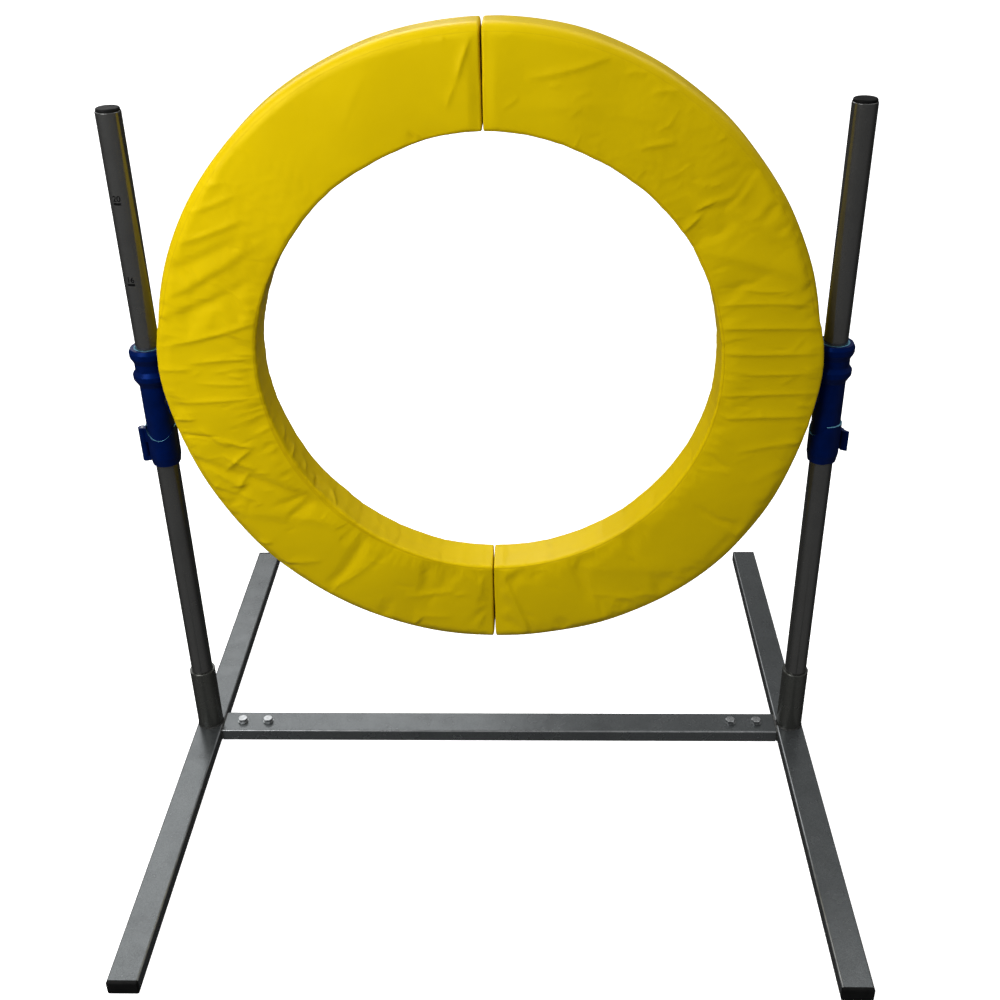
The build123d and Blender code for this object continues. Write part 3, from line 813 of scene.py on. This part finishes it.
def relief_of(points, sign):
    """How far each surface point stands above the plain band, in metres."""
    clock, _, flat = surface_places(points)
    angle = np.radians(clock)
    flat_x, flat_z = flat * np.sin(angle), flat * np.cos(angle)
    front = fold_heights(flat_x, flat_z, FRONT_FOLDS[sign])
    back = fold_heights(flat_x, flat_z, loose_folds(sign, 7 + sign))
    walls = fold_heights(flat_x, flat_z, gathers(sign, 31 + sign))
    turn = np.clip(0.5 - points[:, 1] / (0.5 * HALF_DEPTH), 0, 1)
    folds = turn * front + (1 - turn) * back + walls
    in_wall = (flat > OUTER_R) | (flat < INNER_R)
    foam_lumps = undulation(clock, flat, 3 + sign) * np.where(in_wall, FOAM_WALL_SHARE, 1.0)
    return RELIEF_LIMIT * np.tanh(folds / RELIEF_LIMIT) + foam_lumps


def free_share(points):
    """From 0 where the cover is held (the end faces and under the saddle) to 1 where it is free."""
    _, rho, _ = surface_places(points)
    from_split = np.abs(points[:, 0]) - HALF_GAP
    ends = np.clip((from_split - END_HELD) / END_FADE, 0, 1)
    sideways = np.clip((np.abs(points[:, 1]) - SADDLE_HELD_DEPTH) / SADDLE_DEPTH_FADE, 0, 1)
    below = np.clip((saddle_low.z - SADDLE_MARGIN - points[:, 2]) / SADDLE_FADE, 0, 1)
    above = np.clip((points[:, 2] - saddle_high.z - SADDLE_MARGIN) / SADDLE_FADE, 0, 1)
    inward = np.clip((OUTER_R - RIM_HELD - rho) / RIM_FADE, 0, 1)
    saddle = np.maximum.reduce([sideways, below, above, inward])
    smooth = ends * ends * (3 - 2 * ends)
    return smooth * saddle


def make_mesh(name, points, faces):
    """A smooth-shaded mesh object whose faces all look outwards."""
    mesh = bpy.data.meshes.new(name)
    mesh.from_pydata(points.tolist(), [], faces)
    made = bmesh.new()
    made.from_mesh(mesh)
    bmesh.ops.recalc_face_normals(made, faces=made.faces)
    made.to_mesh(mesh)
    made.free()
    mesh.shade_smooth()
    obj = bpy.data.objects.new(name, mesh)
    bpy.context.scene.collection.objects.link(obj)
    return obj


def read_points(mesh):
    """The mesh's points as rows of three."""
    values = np.zeros(3 * len(mesh.vertices), np.float32)
    mesh.vertices.foreach_get("co", values)
    return values.reshape(-1, 3).astype(float)


def write_points(mesh, points):
    """Moves the mesh's points to these places."""
    mesh.vertices.foreach_set("co", points.astype(np.float32).ravel())
    mesh.update()


def read_normals(mesh):
    """The way each point of the mesh faces."""
    values = np.zeros(3 * len(mesh.vertices), np.float32)
    mesh.vertex_normals.foreach_get("vector", values)
    return values.reshape(-1, 3).astype(float)


def settle_cloth(obj, free):
    """Lets the cover settle as cloth with a little to spare, held where free is 0."""
    group = obj.vertex_groups.new(name="held")
    for k, share in enumerate(free):
        group.add([k], 1.0 - float(share), "REPLACE")
    modifier = obj.modifiers.new("settle", "CLOTH")
    cloth = modifier.settings
    cloth.quality = 5
    cloth.mass = 0.3
    cloth.tension_stiffness = 20
    cloth.compression_stiffness = 20
    cloth.shear_stiffness = 10
    cloth.bending_stiffness = 0.9
    cloth.tension_damping = 8
    cloth.compression_damping = 8
    cloth.air_damping = 4
    cloth.use_pressure = True
    cloth.uniform_pressure_force = 1.2
    cloth.shrink_min = -SIM_GROWTH
    cloth.vertex_group_mass = "held"
    cloth.pin_stiffness = 1
    cloth.effector_weights.gravity = 0
    modifier.collision_settings.use_collision = False
    modifier.point_cache.frame_start = 1
    modifier.point_cache.frame_end = SIM_FRAMES
    scene = bpy.context.scene
    for step in range(1, SIM_FRAMES + 1):
        scene.frame_set(step)
    settled = read_points(obj.evaluated_get(bpy.context.evaluated_depsgraph_get()).data)
    obj.modifiers.remove(modifier)
    obj.vertex_groups.remove(group)
    scene.frame_set(1)
    start = read_points(obj.data)
    move = settled - start
    far = np.linalg.norm(move, axis=1)
    held = np.minimum(1, SIM_CAP / np.maximum(far, 1e-9))
    write_points(obj.data, start + move * (held * free)[:, None])


def evaluated_mesh(obj):
    """A new mesh of the object as its modifiers or curve settings make it."""
    graph = bpy.context.evaluated_depsgraph_get()
    return bpy.data.meshes.new_from_object(obj.evaluated_get(graph))


def subdivide_once(obj):
    """Applies one level of subdivision to the mesh."""
    modifier = obj.modifiers.new("finer", "SUBSURF")
    modifier.levels = 1
    modifier.render_levels = 1
    fine = evaluated_mesh(obj)
    obj.modifiers.remove(modifier)
    obj.data = fine
    fine.shade_smooth()


def add_float(mesh, name, values):
    """Gives the mesh's points a named number that its material reads."""
    mesh.attributes.new(name, "FLOAT", "POINT").data.foreach_set("value", values.astype(np.float32))


def sharpen_folds(obj, sign):
    """Adds what is too narrow for the coarser cloth: the crisp middle of folds, small creases."""
    points = read_points(obj.data)
    clock, _, flat = surface_places(points)
    angle = np.radians(clock)
    rows = [
        (*line, CRISP_SHARE * tall, CRISP_WIDTH * wide, crest)
        for *line, tall, wide, crest in FRONT_FOLDS[sign]
        if crest < CRISP_CREST
    ]
    rows += small_creases(sign, 53 + sign)
    crisp = fold_heights(flat * np.sin(angle), flat * np.cos(angle), rows)
    crisp *= np.clip(-points[:, 1] / (0.5 * HALF_DEPTH), 0, 1) * free_share(points)
    write_points(obj.data, points + read_normals(obj.data) * crisp[:, None])


def keep_clear(obj, sign):
    """Holds the cover off the split's plane and the saddle, and puffs it up on either side."""
    points = read_points(obj.data)
    across = points[:, 0] * sign
    points[:, 0] = sign * np.maximum(across, HALF_GAP)
    rho = np.hypot(points[:, 0], points[:, 2] - HOOP_Z)
    under = (
        (np.abs(points[:, 1]) < SADDLE_HALF_DEPTH + SADDLE_CLEAR)
        & (points[:, 2] > saddle_low.z - SADDLE_OVERLAP)
        & (points[:, 2] < saddle_high.z + SADDLE_OVERLAP)
        & (rho > OUTER_R - REST_ON_SADDLE)
    )
    shrink = np.where(under, (OUTER_R - REST_ON_SADDLE) / np.maximum(rho, 1e-6), 1)
    from_saddle = np.abs(points[:, 1]) - SADDLE_HALF_DEPTH - SADDLE_CLEAR
    beside = np.clip(from_saddle / CHEEK_RISE, 0, 1)
    outermost = np.clip((rho - OUTER_R + CHEEK_DEPTH) / CHEEK_FADE, 0, 1)
    clock, _, _ = surface_places(points)
    near_saddle = lobe(clock, middle_clock(sign), CHEEK_WIDTH)
    shrink += CHEEK / OUTER_R * beside * outermost * near_saddle
    points[:, 0] *= shrink
    points[:, 2] = HOOP_Z + (points[:, 2] - HOOP_Z) * shrink
    write_points(obj.data, points)


def half_cover(side):
    """One padded half: the sewn cover over its foam, with its folds."""
    sign = SIDES[side]
    band = Band(sign)
    points, facing = band.place()
    clock, rho, flat = surface_places(points)
    on_face = np.clip((np.abs(points[:, 1]) - (HALF_DEPTH - FACE_SKIN)) / FACE_SKIN, 0, 1)
    across_face = np.clip((rho - INNER_R) / WIDTH, 0, 1)
    swell = CROWN * on_face * np.sin(np.pi * across_face) ** CROWN_SHAPE
    free = free_share(points)
    relief = relief_of(points, sign)
    lift = (relief + swell) * free
    points = points + facing * lift[:, None]
    obj = make_mesh(f"{side}_padded_half", points, band.quads)
    add_float(obj.data, "along", band.block[:, 0])
    add_float(obj.data, "across", flat)
    add_float(obj.data, "relief", lift)
    on_band = np.abs(rho - (INNER_R + OUTER_R) / 2) < WIDTH / 2 - SIM_EDGE
    loose = 1 - TAUT_SHARE * lobe(clock, *TAUT)
    settle_cloth(obj, free * loose * np.where(on_band, 1.0, SIM_EDGE_SHARE))
    subdivide_once(obj)
    sharpen_folds(obj, sign)
    keep_clear(obj, sign)
    obj.data.materials.clear()
    obj.data.materials.append(yellow_fabric)
    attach(obj, f"{side}_half")
    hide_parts(f"{side}_hoop_cover", f"{side}_foam_core")


# Height marks on the left post ----------------------------------------------------------

MARK_HEIGHTS = {"16": 0.7526, "20": 0.858}
MARK_FACING = math.radians(-100.0)
INK_PROUD = 0.2 * MM
MARK_WIDTH = 10 * MM
MARK_THICK = 3.0 * MM
MARK_STEPS = 12
NUMBER_SIZE = 10.5 * MM
NUMBER_BOLD = 0.15 * MM
NUMBER_LIFT = 1.6 * MM


def wrap_on_post(right, up, height):
    """Puts a flat drawing point, in metres right and up, on the front of the left post."""
    angle = MARK_FACING + right / POST_R
    r = POST_R + INK_PROUD
    return -POST_X + r * math.cos(angle), r * math.sin(angle), height + up


def height_marks():
    """A short ring mark and its number, printed at each height step."""
    for number, height in MARK_HEIGHTS.items():
        text = bpy.data.curves.new(f"number_{number}", "FONT")
        text.body = number
        text.size = NUMBER_SIZE
        text.offset = NUMBER_BOLD
        text.align_x = "CENTER"
        carrier = bpy.data.objects.new(f"number_{number}", text)
        bpy.context.scene.collection.objects.link(carrier)
        flat = evaluated_mesh(carrier)
        bpy.data.objects.remove(carrier)
        shape = bmesh.new()
        shape.from_mesh(flat)
        bmesh.ops.translate(shape, verts=shape.verts, vec=(0, NUMBER_LIFT, 0))
        row = []
        for k in range(MARK_STEPS + 1):
            right = (k / MARK_STEPS - 0.5) * MARK_WIDTH
            row.append([shape.verts.new((right, up, 0)) for up in (-MARK_THICK, 0)])
        for (a, b), (c, d) in zip(row[:-1], row[1:]):
            shape.faces.new((a, c, d, b))
        bmesh.ops.triangulate(shape, faces=shape.faces)
        bmesh.ops.subdivide_edges(shape, edges=shape.edges, cuts=1)
        for v in shape.verts:
            v.co = wrap_on_post(v.co.x, v.co.y, height)
        mesh = bpy.data.meshes.new(f"left_height_mark_{number}")
        shape.to_mesh(mesh)
        shape.free()
        mark = bpy.data.objects.new(f"left_height_mark_{number}", mesh)
        bpy.context.scene.collection.objects.link(mark)
        mark.data.materials.append(ink)
        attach(mark, "base")


# Stage ----------------------------------------------------------------------------------

FLOOR_REACH = 14
WALL_HEIGHT = 16


def add_floor():
    """A wide pale floor with pale walls far off, so that every view ends on it."""
    f = Finish("pale_floor", Roughness=0.9, Specular_IOR_Level=0.0)
    f.set("Base Color", f.blend(f.noise(0.8, 2), (0.80, 0.80, 0.80), (0.82, 0.82, 0.82)))
    f.set("Emission Color", (1, 1, 1, 1))
    f.set("Emission Strength", 1.0)
    square = ((-1, -1), (1, -1), (1, 1), (-1, 1))
    corners = [
        (x * FLOOR_REACH, y * FLOOR_REACH, z) for z in (0, WALL_HEIGHT) for x, y in square
    ]
    sides = [(0, 1, 5, 4), (1, 2, 6, 5), (2, 3, 7, 6), (3, 0, 4, 7)]
    mesh = bpy.data.meshes.new("floor")
    mesh.from_pydata(corners, [], [(0, 1, 2, 3), *sides])
    mesh.materials.append(f.material)
    floor = bpy.data.objects.new("floor", mesh)
    bpy.context.scene.collection.objects.link(floor)
    # The floor lights nothing, so the object keeps the contrast of a room with dark walls
    floor.visible_diffuse = False
    floor.visible_glossy = False
    floor.visible_shadow = False


def add_softbox(name, place, aim, size, radiance):
    """A soft rectangular light, given its brightness per area so that its size can change."""
    light = bpy.data.lights.new(name, "AREA")
    light.shape = "RECTANGLE"
    light.size, light.size_y = size
    light.energy = radiance * math.pi * size[0] * size[1]
    obj = bpy.data.objects.new(name, light)
    obj.location = place
    obj.rotation_euler = (Vector(aim) - Vector(place)).to_track_quat("-Z", "Y").to_euler()
    obj.visible_camera = False
    bpy.context.scene.collection.objects.link(obj)


WORLD_LOW_FRONT = 0.20
WORLD_LOW_BACK = 0.03
WORLD_HIGH = 0.60


def add_world():
    """A soft surround: pale overhead, dim at the horizon, dark low down behind the object."""
    world = bpy.data.worlds.new("studio")
    world.use_nodes = True
    tree = world.node_tree
    direction = tree.nodes.new("ShaderNodeTexCoord").outputs["Generated"]
    parts = tree.nodes.new("ShaderNodeSeparateXYZ")
    tree.links.new(direction, parts.inputs[0])
    low = tree.nodes.new("ShaderNodeMapRange")
    low.inputs["From Min"].default_value = -0.5
    low.inputs["From Max"].default_value = 0.1
    low.inputs["To Min"].default_value = WORLD_LOW_FRONT
    low.inputs["To Max"].default_value = WORLD_LOW_BACK
    tree.links.new(parts.outputs["Y"], low.inputs["Value"])
    grey = tree.nodes.new("ShaderNodeMapRange")
    grey.inputs["From Min"].default_value = 0.05
    grey.inputs["To Max"].default_value = WORLD_HIGH
    tree.links.new(parts.outputs["Z"], grey.inputs["Value"])
    tree.links.new(low.outputs[0], grey.inputs["To Min"])
    tree.links.new(grey.outputs[0], tree.nodes["Background"].inputs["Color"])
    bpy.context.scene.world = world


def add_light():
    """The surround and four softboxes. Each box: name, place, aim, size and radiance."""
    add_world()
    add_softbox("window", (-1.7, -1.8, 2.2), (0, 0, 0.6), (1.3, 1.3), 5.2)
    add_softbox("near_left", (-0.75, -0.7, 1.35), (-0.25, 0, 0.85), (0.7, 0.7), 3.7)
    add_softbox("rear_sky", (-2.0, 3.3, 3.7), (0, 0, 0.4), (4.4, 2.8), 2.4)
    add_softbox("rear_right", (0.9, 0.5, 2.3), (0, 0, 0.7), (1.2, 1.2), 1.9)


CAMERA_PLACE = (0.06643, -1.54133, 1.30998)
CAMERA_LENS = 45.35
CAMERA_HEADING = 2.077
CAMERA_DOWN = 29.92
CAMERA_ROLL = -1.188


def add_camera():
    """The camera that the photo was taken with, fitted to the object's outlines."""
    data = bpy.data.cameras.new("camera")
    data.lens = CAMERA_LENS
    data.sensor_width = 36
    camera = bpy.data.objects.new("camera", data)
    heading = Matrix.Rotation(math.radians(CAMERA_HEADING), 4, "Z")
    pitch = Matrix.Rotation(math.radians(90 - CAMERA_DOWN), 4, "X")
    roll = Matrix.Rotation(math.radians(CAMERA_ROLL), 4, "Z")
    place = Matrix.Translation(CAMERA_PLACE)
    camera.matrix_world = place @ heading @ pitch @ roll
    bpy.context.scene.collection.objects.link(camera)
    bpy.context.scene.camera = camera


dress_cad_nodes()
for side in SIDES:
    half_cover(side)
height_marks()
add_floor()
add_light()
add_camera()
bpy.context.scene.view_settings.view_transform = "Standard"
